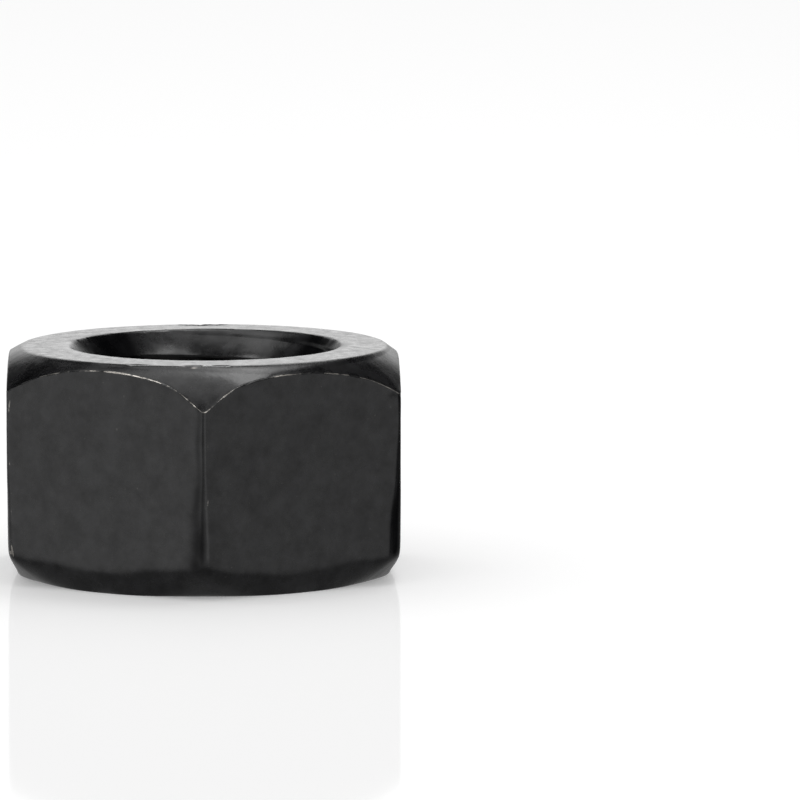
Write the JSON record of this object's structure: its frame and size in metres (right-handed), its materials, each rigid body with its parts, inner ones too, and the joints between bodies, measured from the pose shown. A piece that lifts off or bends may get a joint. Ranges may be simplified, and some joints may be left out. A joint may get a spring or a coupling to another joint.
{
  "type": "hex nut",
  "caption": "Hexagon nut with a right-hand coarse thread, countersunk mouths, domed chamfers on both faces and slightly rounded upright corners, in blackened forged steel.",
  "frame": {"origin": "centre of the bearing face that the nut lies on, on the thread's axis", "axes": "+Z along the thread's axis, away from that face; two opposite wrench flats face +X and -X, and two opposite corners point to +Y and -Y; right-handed"},
  "size_m": [0.036, 0.0414, 0.021],
  "materials": {
    "black_oxide_steel": "black oxide over hot-forged steel, satin, worn brighter along the edges"
  },
  "bodies": {
    "root": {"hex_nut": "black_oxide_steel"}
  },
  "joints": []
}
